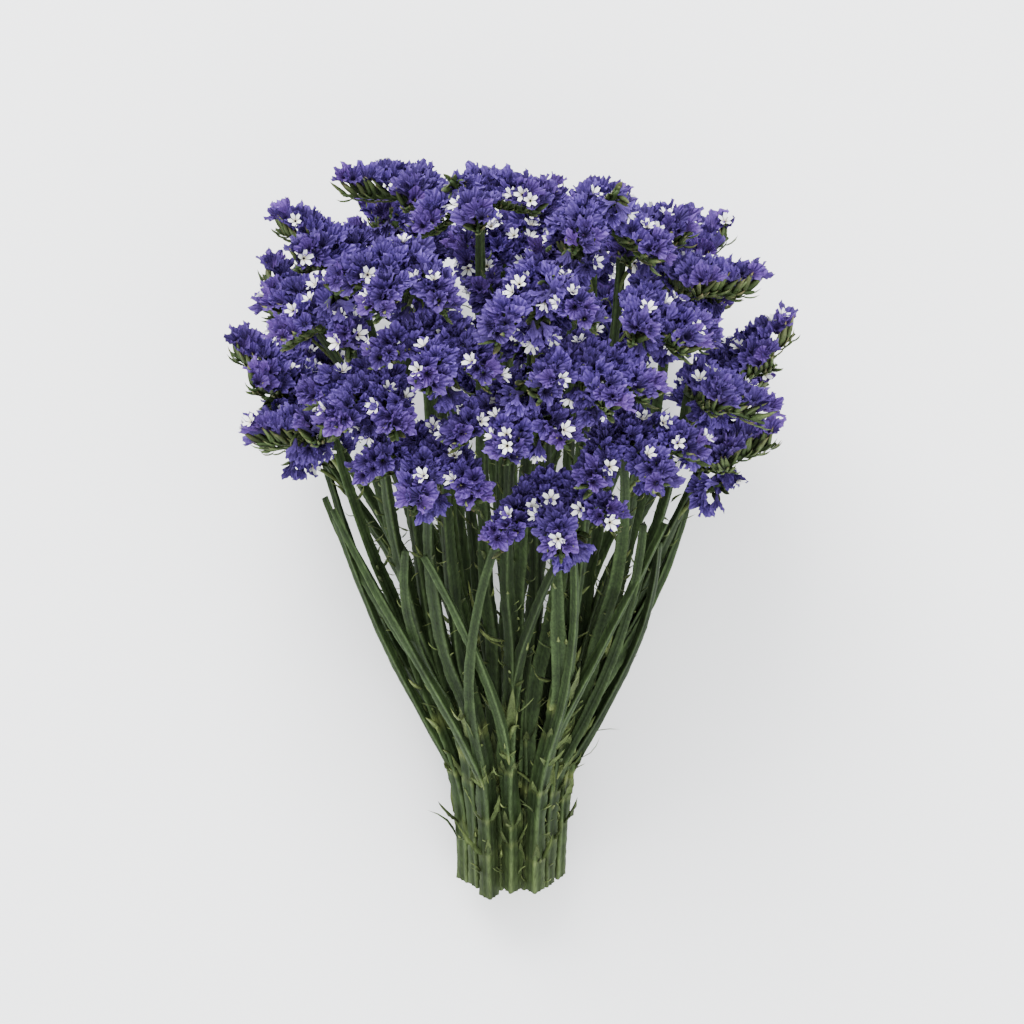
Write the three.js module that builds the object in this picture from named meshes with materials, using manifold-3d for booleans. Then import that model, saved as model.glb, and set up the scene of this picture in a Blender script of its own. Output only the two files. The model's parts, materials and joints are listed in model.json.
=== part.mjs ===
// A bunch of statice: winged stems that fork into branches, each branch ending in a fan of
// one-sided flower spikes. It is grown upright in (side, back, up), in millimetres, and then
// laid on its back, so that its front faces up and its stems point along Y.
import * as THREE from 'three';
import Module from 'manifold-3d';

const wasm = await Module();
wasm.setup();

const degree = Math.PI / 180;

// Foot of the bunch: stems in rings around a middle one, pressed together
const stemRings = 2;
const stemPitch = 11.7;
const stemGap = 0.3;
const footReach = 29;
const cutSpread = 5;
const pressedTo = 20;

// Flare of the bunch: its outermost stem line keeps to the waist, then opens at a steady slope
const waistReach = 27.3;
const kneeUp = 58;
const kneeSoftness = 30;
const flareSlope = 0.46;

// Dome that the tips of the spikes reach
const domeReach = 153;
const domeRise = 86.5;
const domeUp = 292.5;
const skirtAngle = 122 * degree;

// Heads, spread evenly over the dome by the golden angle
const headCount = 40;
const goldenTurn = Math.PI * (3 - Math.sqrt(5));
const firstTurn = 1.76;
const seed = 63.5;
const frontCrowding = 0.51;
const leanAtCrown = 17 * degree;
const leanAtSide = 59 * degree;
const leanAtSkirt = 57 * degree;
const frontDroop = 59 * degree;
const droopFrom = 18 * degree;
const droopOver = 51 * degree;
const frontAim = 0.85;
const frontReach = 13;
const frontDrop = 32;
const skirtFrom = 40 * degree;
const turnedWithin = 38 * degree;
const leanTurned = 9 * degree;
const headTwist = 18 * degree;
const headLift = 3;
const headArch = 4.5;
const wideShare = 0.8;
const crownHeads = 7;

// How far heads stray from the rule: in lean, in yaw, in the fan of their spikes and in size
const leanStray = 5 * degree;
const yawStray = 7 * degree;
const fanStray = 3 * degree;
const sizeStray = 0.07;

// Heads shove each other aside until the balls that stand for their spikes and stalks are clear
const shoves = 60;
const shoveShare = 0.55;
const spikeBalls = [10, 22, 34, 45];
const spikeBall = 12.1;
const stalkBalls = [12, 26, 40, 54, 68, 82];
const stalkBall = 6;
const ballHeight = 5.5;

// Spikes: two rows of florets above, a keel of bracts below, one surface between them.
// The stations are distances from the fork of the head, along the middle and along each flank.
const spikeLength = 55;
const spikeGap = 0.15;
const pairFan = 29 * degree;
const wideFan = 44 * degree;
const outerSize = 0.9;
const ridgeStations = [0, 12, 25, 43];
const outerFlank = [-1.5, 16, 29, 39];
const innerFlank = [29, 39];
const crotchStation = 18;
const flankWidth = 4.4;
const ridgeHeight = 4;
const floretSpread = 3.25;
const floretTop = 17;
const floretShoulder = 9;
const floretShare = 0.9;
const floretHollow = 4;
const tipReach = 7;
const bractReach = 8.5;
const keelDepth = 6.5;

// Stems and branches: the radius to a wing's edge and to the valley between two wings
const wingReach = 5.8;
const branchWing = 5;
const endWing = 2.8;
const valleyShare = 0.5;
const stationStep = 34;
const forkFrom = 52;
const forkRange = 70;
const forkStep = 26;
const leafletLength = 11;
const leafletWidth = 4;
const leafLength = 36;
const leafWidth = 5.5;
const leafFrom = 62;
const leafRange = 75;
const leafSlope = 0.75;

// How the bunch lies: its axis rises from the surface, and heads close above it sag on to it
const axisRise = 21 * degree;
const footClear = 24.2;
const sagReach = 14;
const sagPast = 4;
const noseAlong = 52;
const noseAcross = 11;
const noseHeight = 6;
const middleAside = 0.9;
const middleAlong = 181.3;

const stemLook = { color: 0x3c502d, roughness: 0.75, metalness: 0 };
const calyxLook = { color: 0x3e3296, roughness: 0.85, metalness: 0 };

function vector(x, y, z) {
  return new THREE.Vector3(x, y, z);
}

function mix(from, to, share) {
  return from + (to - from) * share;
}

function clamp(share) {
  return Math.min(1, Math.max(0, share));
}

function smooth(share) {
  const kept = clamp(share);
  return kept * kept * (3 - 2 * kept);
}

// A repeatable number from 0 to 1 for each thing and each use of it
function chance(thing, use) {
  const turned = Math.sin(thing * 12.9898 + use * 78.233 + seed) * 43758.5453;
  return turned - Math.floor(turned);
}

function either(thing, use) {
  return 2 * chance(thing, use) - 1;
}

// Radius of the outermost stem line at a height
function reachAt(up) {
  const beyond = up - kneeUp;
  return waistReach + flareSlope * (beyond + Math.hypot(beyond, kneeSoftness)) / 2;
}

// A point of the upright bunch where it ends up after the bunch is laid down
function laid(point) {
  const along = point.z * Math.cos(axisRise) + point.y * Math.sin(axisRise);
  const high = point.z * Math.sin(axisRise) - point.y * Math.cos(axisRise) + footClear;
  return vector(point.x - middleAside, along - middleAlong, high);
}

// Stems stand in a triangular lattice, and a label is a place in the disc of radius 1
function makeStems() {
  const stems = [];
  for (let row = -stemRings; row <= stemRings; row += 1) {
    for (let column = -stemRings; column <= stemRings; column += 1) {
      if (Math.abs(row + column) > stemRings) continue;
      const x = (column + row / 2) * stemPitch / footReach;
      const y = row * Math.sqrt(0.75) * stemPitch / footReach;
      stems.push({ number: stems.length, label: new THREE.Vector2(x, y), heads: [] });
    }
  }
  return stems;
}

// The heads round the skirt hang lower and droop at the front, and crowd there
function domePlace(number) {
  const share = (number + 0.5) / headCount;
  const turn = firstTurn + number * goldenTurn;
  const angle = Math.acos(1 - share * (1 - Math.cos(skirtAngle)));
  const skirt = smooth((angle - skirtFrom) / (skirtAngle - skirtFrom));
  const crowded = turn - frontCrowding * Math.cos(turn);
  const front = smooth(-Math.sin(crowded) / frontAim);
  const side = mix(leanAtCrown, leanAtSide, smooth(angle / (45 * degree)));
  const turned = front > 0.5 && angle < turnedWithin;
  const droop = frontDroop * front * smooth((angle - droopFrom) / droopOver);
  return {
    label: new THREE.Vector2(Math.cos(turn), Math.sin(turn)).multiplyScalar(Math.sqrt(share)),
    turn: crowded,
    reach: domeReach * Math.sin(angle) + frontReach * skirt * front,
    up: domeUp + domeRise * Math.cos(angle) - frontDrop * skirt * skirt * front,
    lean: turned ? leanTurned : mix(side, leanAtSkirt, skirt) + droop,
    turned,
  };
}

// Frame of a head: axis along its middle, face up through its florets, across to its side.
// The heads at the front of the crown turn their florets outward instead of up.
function makeHead(number) {
  const { label, turn, reach, up, lean, turned } = domePlace(number);
  const leaning = lean + leanStray * either(number, 1);
  const yaw = turn + yawStray * either(number, 2);
  const outward = vector(Math.cos(yaw), Math.sin(yaw), 0);
  const axis = outward.clone().multiplyScalar(Math.sin(leaning)).setZ(Math.cos(leaning));
  const face = outward.clone().multiplyScalar(-Math.cos(leaning)).setZ(Math.sin(leaning));
  face.applyAxisAngle(axis, headTwist * either(number, 3) + (turned ? Math.PI : 0));
  const across = face.clone().cross(axis);
  const length = spikeLength * (1 + sizeStray * either(number, 4));
  const tip = vector(reach * Math.cos(turn), reach * Math.sin(turn), up);
  const root = tip.addScaledVector(axis, -length);
  const head = { number, label, axis, face, across, root, length };
  head.spikes = makeSpikes(head);
  head.foot = headPoint(head, 2, 0, -3);
  return head;
}

function makeSpikes(head) {
  const wide = head.number >= crownHeads && chance(head.number, 5) < wideShare;
  const fans = wide ? [-wideFan, 0, wideFan] : [-pairFan, pairFan];
  return fans.map((fan, place) => ({
    fan: fan + fanStray * either(head.number, 6 + place),
    size: head.length / spikeLength * (fan === 0 || !wide ? 1 : outerSize),
  }));
}

// Florets lie above the surface of height 0, and bracts below it
function headPoint(head, along, across, height) {
  const far = Math.max(0, Math.hypot(along, across) - 15) / 35;
  const bend = headLift * far ** 2 - headArch * (across / 32) ** 2;
  return head.root.clone()
    .addScaledVector(head.axis, along)
    .addScaledVector(head.across, across)
    .addScaledVector(head.face, height + bend);
}

function ballsOf(head) {
  const balls = [];
  for (const { fan, size } of head.spikes) {
    for (const along of spikeBalls) {
      const far = along * size;
      const centre = headPoint(head, far * Math.cos(fan), far * Math.sin(fan), ballHeight);
      balls.push({ centre, radius: spikeBall });
    }
  }
  for (const below of stalkBalls) {
    const up = head.foot.z - below;
    const flow = reachAt(up);
    const centre = vector(head.label.x * flow, head.label.y * flow, up).add(pullAt(head, up));
    balls.push({ centre, radius: stalkBall });
  }
  return balls;
}

// How far one head has to move to come clear of another at their deepest meeting
function shoveOf(one, other) {
  let deepest = 0;
  const shove = vector(0, 0, 0);
  for (const ball of one.balls) {
    for (const block of other.balls) {
      const away = ball.centre.clone().sub(block.centre);
      const depth = ball.radius + block.radius - away.length();
      if (depth > deepest) {
        deepest = depth;
        shove.copy(away).setLength(depth);
      }
    }
  }
  return shove;
}

function moveHead(head, step) {
  head.root.add(step);
  head.foot = headPoint(head, 2, 0, -3);
  head.balls = ballsOf(head);
}

function shoveApart(heads) {
  for (const head of heads) head.balls = ballsOf(head);
  for (let round = 0; round < shoves; round += 1) {
    heads.forEach((one, i) => {
      for (const other of heads.slice(i + 1)) {
        if (one.root.distanceTo(other.root) > 3 * spikeLength) continue;
        const shove = shoveOf(one, other).multiplyScalar(shoveShare);
        if (shove.length() === 0) continue;
        moveHead(one, shove);
        moveHead(other, shove.negate());
      }
    });
  }
}

// How high the lowest tip of a head's spikes is above the surface
function clearOf(head) {
  let lowest = Infinity;
  for (const { fan, size } of head.spikes) {
    for (const across of [-noseAcross, noseAcross]) {
      const forward = noseAlong * size * Math.cos(fan) - across * Math.sin(fan);
      const sideways = noseAlong * size * Math.sin(fan) + across * Math.cos(fan);
      lowest = Math.min(lowest, laid(headPoint(head, forward, sideways, noseHeight)).z);
    }
  }
  return lowest;
}

// A head that hangs close above the surface sags until its tips lie on it
function layHeads(heads) {
  const down = vector(0, Math.cos(axisRise), -Math.sin(axisRise));
  for (const head of heads) {
    const clear = clearOf(head);
    if (clear < sagReach) moveHead(head, down.clone().multiplyScalar(clear + sagPast));
  }
}

function giveHeads(stems, heads) {
  for (const head of heads) {
    const near = stems.reduce((best, stem) =>
      stem.label.distanceTo(head.label) < best.label.distanceTo(head.label) ? stem : best);
    near.heads.push(head);
  }
  for (const stem of stems) {
    stem.heads.sort((one, other) =>
      one.label.distanceTo(stem.label) - other.label.distanceTo(stem.label));
  }
}

// The late part of a branch bends over to the foot of its head
function pullAt(head, up) {
  const late = clamp(2 * up / head.foot.z - 1);
  const reach = reachAt(head.foot.z);
  const offset = vector(head.foot.x - head.label.x * reach, head.foot.y - head.label.y * reach, 0);
  return offset.multiplyScalar(late * late);
}

function branchPoint(branch, up) {
  const { head, from, forkUp } = branch;
  const share = clamp((up - forkUp) / (head.foot.z - forkUp));
  const label = from.clone().lerp(head.label, share * (1.6 - 0.6 * share));
  return vector(label.x * reachAt(up), label.y * reachAt(up), up).add(pullAt(head, up));
}

function waveAt(stem, up) {
  const size = 2 * smooth((up - 30) / 60) * (1 - smooth((up - 130) / 60));
  const phase = 6.3 * chance(stem.number, 11);
  return vector(size * Math.sin(up / 27 + phase), size * Math.cos(up / 31 + phase), 0);
}

function makeBranches(stem) {
  const branches = [];
  stem.heads.forEach((head, place) => {
    const forkUp = forkFrom + forkRange * chance(stem.number, 12) + forkStep * Math.max(0, place - 1);
    const branch = { stem, head, forkUp, from: stem.label, main: place === 0 };
    if (place > 0) {
      const start = branchPoint(branches[0], forkUp).sub(pullAt(head, forkUp));
      branch.from = new THREE.Vector2(start.x, start.y).divideScalar(reachAt(forkUp));
    }
    branches.push(branch);
  });
  return branches;
}

function pathPoint(branch, up) {
  return branchPoint(branch, up).add(waveAt(branch.stem, up));
}

function tangentAt(branch, up) {
  return pathPoint(branch, up + 0.5).sub(pathPoint(branch, up - 0.5)).normalize();
}

// A solid made from corner points and the faces between them
class Shell {
  constructor() {
    this.corners = [];
    this.triangles = [];
  }

  point(place) {
    this.corners.push(place);
    return this.corners.length - 1;
  }

  ring(places) {
    return places.map((place) => this.point(place));
  }

  face(...loop) {
    for (let i = 2; i < loop.length; i += 1) this.triangles.push(loop[0], loop[i - 1], loop[i]);
  }

  band(lower, upper) {
    lower.forEach((corner, i) => {
      const next = (i + 1) % lower.length;
      this.face(corner, lower[next], upper[next], upper[i]);
    });
  }

  solid() {
    const vertProperties = new Float32Array(this.corners.length * 3);
    this.corners.forEach((corner, i) => laid(corner).toArray(vertProperties, i * 3));
    const triVerts = new Uint32Array(this.triangles);
    return new wasm.Manifold(new wasm.Mesh({ numProp: 3, vertProperties, triVerts }));
  }
}

// A ring of corners round a stem, at wing and valley in turn
function sectionRing(centre, tangent, radii, turn) {
  const across = vector(1, 0, 0).addScaledVector(tangent, -tangent.x).normalize();
  const inward = tangent.clone().cross(across);
  return radii.map((radius, i) => {
    const angle = turn + i * 2 * Math.PI / radii.length;
    return centre.clone()
      .addScaledVector(across, radius * Math.cos(angle))
      .addScaledVector(inward, radius * Math.sin(angle));
  });
}

function stations(from, to, step) {
  const count = Math.max(1, Math.round((to - from) / step));
  return Array.from({ length: count + 1 }, (_, i) => mix(from, to, i / count));
}

// The main stem: a hexagon where it is pressed among the others, three wings above
function mainStemSolid(branch) {
  const { stem, head } = branch;
  const cutUp = stem.label.y < 0.6 ? cutSpread * chance(stem.number, 21) : 0;
  const heights = [cutUp, pressedTo, 45, ...stations(75, head.foot.z, stationStep)];
  const pressed = (stemPitch - stemGap) / Math.sqrt(3);
  const spin = 40 * degree * either(stem.number, 22);
  const shell = new Shell();
  const rings = heights.map((up, i) => {
    const open = smooth((up - pressedTo) / 25);
    const thin = smooth((up - branch.forkUp) / 40);
    const far = smooth((up - branch.forkUp) / (head.foot.z - branch.forkUp));
    const swing = 1 + 0.07 * Math.sin(i * 2.4 + stem.number);
    const wing = swing * mix(mix(wingReach, branchWing, thin), endWing, far);
    const tight = pressed * reachAt(up) / reachAt(0);
    const tip = mix(tight, wing, open);
    const valley = mix(tight, wing * valleyShare, open);
    const turn = 30 * degree + spin * smooth((up - 40) / 60);
    const tangent = up <= pressedTo ? vector(0, 0, 1) : tangentAt(branch, up);
    return sectionRing(pathPoint(branch, up), tangent, [tip, valley, tip, valley, tip, valley], turn);
  });
  const indices = rings.map((ring) => shell.ring(ring));
  for (let i = 1; i < indices.length; i += 1) shell.band(indices[i - 1], indices[i]);
  shell.face(...indices[0].slice().reverse());
  shell.face(...indices.at(-1));
  return shell.solid();
}

// A side branch: three wings with straight flanks
function sideBranchSolid(branch) {
  const { stem, head, forkUp } = branch;
  const shell = new Shell();
  const heights = stations(forkUp, head.foot.z, stationStep);
  const turn = 6.3 * chance(head.number, 23);
  const rings = heights.map((up) => {
    const wing = mix(branchWing, endWing, smooth((up - forkUp) / (head.foot.z - forkUp)));
    return sectionRing(pathPoint(branch, up), tangentAt(branch, up), [wing, wing, wing], turn);
  });
  const indices = rings.map((ring) => shell.ring(ring));
  for (let i = 1; i < indices.length; i += 1) shell.band(indices[i - 1], indices[i]);
  shell.face(...indices[0].slice().reverse());
  shell.face(...indices.at(-1));
  return shell.solid();
}

// A narrow pointed leaf with a raised midrib, which stands out and then bends back up
function leafSolid(root, axis, outward, length, width) {
  const across = axis.clone().cross(outward).normalize();
  const under = across.clone().cross(axis).normalize();
  const shell = new Shell();
  const place = (share, side, lift) => root.clone()
    .addScaledVector(axis, length * share)
    .addScaledVector(across, side * width)
    .addScaledVector(under, lift - 0.22 * length * share * share);
  const parts = length > 20 ? [0.3, 0.65] : [0.4];
  const start = shell.point(place(0, 0, 0));
  const end = shell.point(place(1, 0, 0));
  const rings = parts.map((share) => shell.ring([
    place(share, 0.5, 0.25),
    place(share, 0, -0.9),
    place(share, -0.5, 0.25),
    place(share, 0, 0.1),
  ]));
  rings[0].forEach((corner, i) => shell.face(start, rings[0][(i + 1) % 4], corner));
  for (let i = 1; i < rings.length; i += 1) shell.band(rings[i - 1], rings[i]);
  rings.at(-1).forEach((corner, i) => shell.face(end, corner, rings.at(-1)[(i + 1) % 4]));
  return shell.solid();
}

function forkLeaves(branch) {
  const { head, forkUp } = branch;
  const leaves = [];
  const root = pathPoint(branch, forkUp - 2);
  const outer = Math.atan2(root.y, root.x);
  for (const side of [-1, 1]) {
    const turn = outer + side * (40 + 20 * chance(head.number, 24)) * degree;
    const outward = vector(Math.cos(turn), Math.sin(turn), 0);
    const axis = tangentAt(branch, forkUp).addScaledVector(outward, 0.5).normalize();
    const start = root.clone().addScaledVector(outward, 1.2);
    leaves.push(leafSolid(start, axis, outward, leafletLength, leafletWidth));
  }
  return leaves;
}

// A long leaf stands out from each outer stem of the front and the sides
function longLeaf(branch) {
  const { stem } = branch;
  const up = leafFrom + leafRange * chance(stem.number, 25);
  const root = pathPoint(branch, up);
  const outer = Math.atan2(stem.label.y, stem.label.x);
  const outward = vector(Math.cos(outer), Math.sin(outer), 0);
  const axis = tangentAt(branch, up).addScaledVector(outward, leafSlope).normalize();
  return leafSolid(root.addScaledVector(outward, 1.2), axis, outward, leafLength, leafWidth);
}

// A corner on the plan of a head: along and across one of its spikes, with the room beside it
function corner(spike, along, across, room = Infinity) {
  return { fan: spike.fan, along: along * spike.size, across, room };
}

function flankCorners(head, index, side) {
  const { spikes } = head;
  const spike = spikes[index];
  const beside = spikes[index + side];
  const width = side * flankWidth;
  if (!beside) return outerFlank.map((along) => corner(spike, along, width));
  const room = 0.85 * Math.tan(Math.abs(beside.fan - spike.fan) / 2);
  return innerFlank.map((along) => corner(spike, along, width, room));
}

// The plan of a head, each loop counterclockwise from above: cells on both sides of each
// spike's ridge, a cell in each crotch between two spikes, and the floor that they stand on
function planOf(head) {
  const { spikes } = head;
  const heart = corner(spikes[0], 0, 0);
  const crotches = spikes.slice(1).map((spike, i) => {
    const half = (spike.fan - spikes[i].fan) / 2;
    const middle = { fan: spikes[i].fan + half, size: head.length / spikeLength };
    return { ...corner(middle, crotchStation, 0), aside: crotchStation * Math.sin(half) };
  });
  const arms = spikes.map((spike, i) => {
    const ridge = [heart, ...ridgeStations.slice(1).map((along) => corner(spike, along, 0))];
    ridge.at(-1).nose = spike;
    const lower = flankCorners(head, i, -1);
    const upper = flankCorners(head, i, 1);
    if (i > 0) lower.unshift(null, crotches[i - 1]);
    if (i < crotches.length) upper.unshift(null, crotches[i]);
    return { ridge, lower, upper };
  });
  const cells = crotches.map((crotch, i) => (
    { loop: [heart, arms[i].ridge[1], crotch, arms[i + 1].ridge[1]] }));
  const floors = [[
    arms[0].lower[0],
    arms[0].lower[1],
    ...crotches,
    arms.at(-1).upper[1],
    arms.at(-1).upper[0],
  ]];
  for (const { ridge, lower, upper } of arms) {
    for (let j = 1; j < ridge.length; j += 1) {
      if (lower[j - 1]) cells.push({ loop: [ridge[j], ridge[j - 1], lower[j - 1], lower[j]], edge: 2 });
      if (upper[j - 1]) cells.push({ loop: [ridge[j], upper[j], upper[j - 1], ridge[j - 1]], edge: 1 });
      if (j > 1) floors.push([lower[j - 1], lower[j], upper[j], upper[j - 1]]);
    }
    floors.push([lower.at(-1), ridge.at(-1), upper.at(-1)]);
  }
  return { heart, cells, floors };
}

function planPlace(point, widen) {
  const room = point.room === Infinity ? Infinity : point.along * point.room;
  const aside = Math.min(Math.abs(point.across) * widen, room);
  const across = Math.sign(point.across) * aside;
  return [
    point.along * Math.cos(point.fan) - across * Math.sin(point.fan),
    point.along * Math.sin(point.fan) + across * Math.cos(point.fan),
    point.aside ?? aside,
  ];
}

// Corner numbers of a shell, made once for each corner of a plan
function cornerMaker(head, shell, heightOf) {
  const made = new Map();
  return (point) => {
    if (!made.has(point)) {
      const [forward, sideways] = planPlace(point, 1);
      made.set(point, shell.point(headPoint(head, forward, sideways, heightOf(point))));
    }
    return made.get(point);
  };
}

// A floret stands on a cell: a funnel that widens to a rim of four lobes round a hollow
function floret(head, shell, base, cell) {
  const rims = cell.loop.map((point, i) => {
    const [forward, sideways, aside] = planPlace(point, floretSpread);
    const height = floretTop - (floretTop - floretShoulder) * (aside / 12) ** 2;
    return vector(forward, sideways, height + (i % 2 ? 0.7 : -0.7));
  });
  const { nose } = cell.loop[0];
  if (nose) {
    const ahead = vector(Math.cos(nose.fan), Math.sin(nose.fan), 0);
    rims[0].addScaledVector(ahead, tipReach);
    rims[cell.edge === 1 ? 1 : 3].addScaledVector(ahead, 0.6 * tipReach);
  }
  const centre = rims.reduce((sum, rim) => sum.add(rim), vector(0, 0, 0)).divideScalar(4);
  const corners = rims.map((rim) => {
    const place = centre.clone().lerp(rim, floretShare);
    return shell.point(headPoint(head, place.x, place.y, place.z));
  });
  const middle = shell.point(headPoint(head, centre.x, centre.y, centre.z - floretHollow));
  base.forEach((start, i) => {
    const next = (i + 1) % 4;
    const wall = [start, base[next], corners[next], corners[i]];
    if (start > base[next]) wall.push(wall.shift());
    shell.face(...wall);
    shell.face(corners[i], corners[next], middle);
  });
}

// All the florets of a head, raised from a ridge along each spike
function floretSolid(head) {
  const shell = new Shell();
  const { heart, cells, floors } = planOf(head);
  const rise = (point) => (point.across || point.aside || point.nose ? 0 : ridgeHeight);
  const numberOf = cornerMaker(head, shell, (point) => spikeGap + rise(point));
  for (const cell of cells) floret(head, shell, cell.loop.map(numberOf), cell);
  for (const [first, ...rest] of floors) shell.face(numberOf(first), ...rest.map(numberOf).reverse());
  shell.face(numberOf(floors[0][0]), numberOf(heart), numberOf(floors[0].at(-1)));
  return shell.solid();
}

// The keel of bracts under a head, with a pointed bract standing out at each cell of a flank
function bractSolid(head) {
  const shell = new Shell();
  const { heart, cells, floors } = planOf(head);
  const keelHeight = (point) => keelDepth * (1 - 0.5 * smooth(point.along / 45 - 0.2));
  const drop = (point) => (point.across || point.aside || point.nose ? 0 : keelHeight(point));
  const numberOf = cornerMaker(head, shell, (point) => -spikeGap - drop(point));
  for (const { loop, edge } of cells) {
    const around = loop.map(numberOf);
    if (edge) {
      const far = edge === 1 ? loop[1] : loop[3];
      const bract = { ...far, along: far.along - 1.5, across: Math.sign(far.across) * bractReach };
      const [forward, sideways] = planPlace(bract, 1);
      const tip = shell.point(headPoint(head, forward, sideways, -spikeGap - 1.2));
      shell.face(around[edge], tip, around[edge + 1]);
      around.splice(edge + 1, 0, tip);
      const near = numberOf(edge === 1 ? loop[3] : loop[1]);
      while (around[0] !== near) around.push(around.shift());
    }
    shell.face(around.shift(), ...around.reverse());
  }
  for (const floor of floors) shell.face(...floor.map(numberOf));
  shell.face(numberOf(floors[0].at(-1)), numberOf(heart), numberOf(floors[0][0]));
  return shell.solid();
}

function joined(solids) {
  return solids.reduce((whole, solid) => whole.add(solid));
}

function restedOn(solid) {
  return solid.trimByPlane([0, 0, 1], 0);
}

function meshOf(name, solid, look) {
  const { vertProperties, triVerts } = solid.getMesh();
  const geometry = new THREE.BufferGeometry();
  geometry.setAttribute('position', new THREE.BufferAttribute(vertProperties, 3));
  geometry.setIndex(new THREE.BufferAttribute(triVerts, 1));
  geometry.computeVertexNormals();
  const mesh = new THREE.Mesh(geometry, new THREE.MeshStandardMaterial(look));
  mesh.name = name;
  return mesh;
}

function numbered(word, number) {
  return `${word}_${String(number + 1).padStart(2, '0')}`;
}

function stemMesh(stem) {
  const branches = makeBranches(stem);
  const solids = [mainStemSolid(branches[0])];
  if (stem.label.length() > 0.6 && stem.label.y < 0.2) solids.push(longLeaf(branches[0]));
  for (const branch of branches) {
    if (!branch.main) solids.push(sideBranchSolid(branch), ...forkLeaves(branch));
    solids.push(bractSolid(branch.head));
  }
  return meshOf(numbered('stem', stem.number), restedOn(joined(solids)), stemLook);
}

function headMesh(head) {
  return meshOf(numbered('head', head.number), restedOn(floretSolid(head)), calyxLook);
}

function buildBunch() {
  const group = new THREE.Group();
  const stems = makeStems();
  const heads = Array.from({ length: headCount }, (_, number) => makeHead(number));
  shoveApart(heads);
  layHeads(heads);
  giveHeads(stems, heads);
  for (const stem of stems) group.add(stemMesh(stem));
  for (const head of heads) group.add(headMesh(head));
  return group;
}

export default buildBunch();
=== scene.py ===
import json
import math

import bpy
import numpy as np
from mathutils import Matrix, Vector

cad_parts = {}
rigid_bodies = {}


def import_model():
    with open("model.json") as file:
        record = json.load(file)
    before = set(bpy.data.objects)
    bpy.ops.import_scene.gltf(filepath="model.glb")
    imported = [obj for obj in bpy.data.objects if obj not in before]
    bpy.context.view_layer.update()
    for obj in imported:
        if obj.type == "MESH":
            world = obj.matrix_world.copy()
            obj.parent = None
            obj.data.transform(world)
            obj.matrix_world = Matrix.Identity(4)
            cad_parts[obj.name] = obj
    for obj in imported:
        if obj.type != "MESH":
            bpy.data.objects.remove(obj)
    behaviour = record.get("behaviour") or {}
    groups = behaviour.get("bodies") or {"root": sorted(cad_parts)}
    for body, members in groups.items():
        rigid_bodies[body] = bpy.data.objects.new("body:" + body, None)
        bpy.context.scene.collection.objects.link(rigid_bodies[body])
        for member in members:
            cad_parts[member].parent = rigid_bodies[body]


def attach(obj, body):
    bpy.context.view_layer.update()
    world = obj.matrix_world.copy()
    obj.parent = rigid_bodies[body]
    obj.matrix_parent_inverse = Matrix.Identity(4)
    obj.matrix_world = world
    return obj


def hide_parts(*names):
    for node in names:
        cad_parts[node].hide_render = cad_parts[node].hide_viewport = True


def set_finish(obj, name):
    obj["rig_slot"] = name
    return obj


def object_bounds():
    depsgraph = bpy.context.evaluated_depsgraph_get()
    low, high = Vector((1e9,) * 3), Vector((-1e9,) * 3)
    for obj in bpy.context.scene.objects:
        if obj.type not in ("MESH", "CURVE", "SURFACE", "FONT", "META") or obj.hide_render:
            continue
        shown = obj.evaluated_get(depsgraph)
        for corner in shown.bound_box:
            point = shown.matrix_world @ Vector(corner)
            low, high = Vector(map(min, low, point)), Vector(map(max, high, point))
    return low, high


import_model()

cadBox = [[float(v) for v in corner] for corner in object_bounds()]
degree = math.pi / 180
mm = 0.001
overFloor = 0.2 * mm

print("the bunch: places of stems and heads")

# The bunch is laid out upright in (side, back, up), in millimetres, by the rule that its solids follow
bunch = {
    "stemRings": 2, "stemPitch": 11.7, "stemGap": 0.3, "footReach": 29, "cutSpread": 5, "pressedTo": 20,
    "waistReach": 27.3, "kneeUp": 58, "kneeSoftness": 30, "flareSlope": 0.46,
    "domeReach": 153, "domeRise": 86.5, "domeUp": 292.5, "skirtAngle": 122 * degree,
    "headCount": 40, "firstTurn": 1.76, "seed": 63.5, "frontCrowding": 0.51,
    "leanAtCrown": 17 * degree, "leanAtSide": 59 * degree, "leanAtSkirt": 57 * degree,
    "frontDroop": 59 * degree, "droopFrom": 18 * degree, "droopOver": 51 * degree, "frontAim": 0.85,
    "frontReach": 13, "frontDrop": 32, "skirtFrom": 40 * degree,
    "turnedWithin": 38 * degree, "leanTurned": 9 * degree,
    "headTwist": 18 * degree, "headLift": 3, "headArch": 4.5, "wideShare": 0.8, "crownHeads": 7,
    "leanStray": 5 * degree, "yawStray": 7 * degree, "fanStray": 3 * degree, "sizeStray": 0.07,
    "spikeLength": 55, "pairFan": 29 * degree, "wideFan": 44 * degree, "outerSize": 0.9,
    "shoves": 60, "shoveShare": 0.55, "spikeBalls": [10, 22, 34, 45], "spikeBall": 12.1,
    "stalkBalls": [12, 26, 40, 54, 68, 82], "stalkBall": 6, "ballHeight": 5.5,
    "wingReach": 5.8, "branchWing": 5, "endWing": 2.8, "valleyShare": 0.5,
    "forkFrom": 52, "forkRange": 70, "forkStep": 26,
    "leafletLength": 11, "leafletWidth": 4, "leafLength": 36, "leafWidth": 5.5,
    "leafFrom": 62, "leafRange": 75, "leafSlope": 0.75,
    "axisRise": 21 * degree, "footClear": 24.2, "middleAside": 0.9, "middleAlong": 181.3,
    "sagReach": 14, "sagPast": 4, "noseAlong": 52, "noseAcross": 11, "noseHeight": 6,
    "sideAngle": 45 * degree, "turnedFront": 0.5, "shoveReach": 3,
    "archFrom": 15, "archOver": 35, "archWide": 32, "footAlong": 2, "footHeight": -3,
    "branchCurve": 0.6, "waveSize": 2, "waveFrom": 30, "waveTo": 130, "waveOver": 60, "waveShort": 27,
    "waveLong": 31, "phaseRange": 6.3,
}


def vec(x, y, z):
    return np.array([x, y, z], dtype=float)


def mix(start, end, share):
    return start + (end - start) * share


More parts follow.
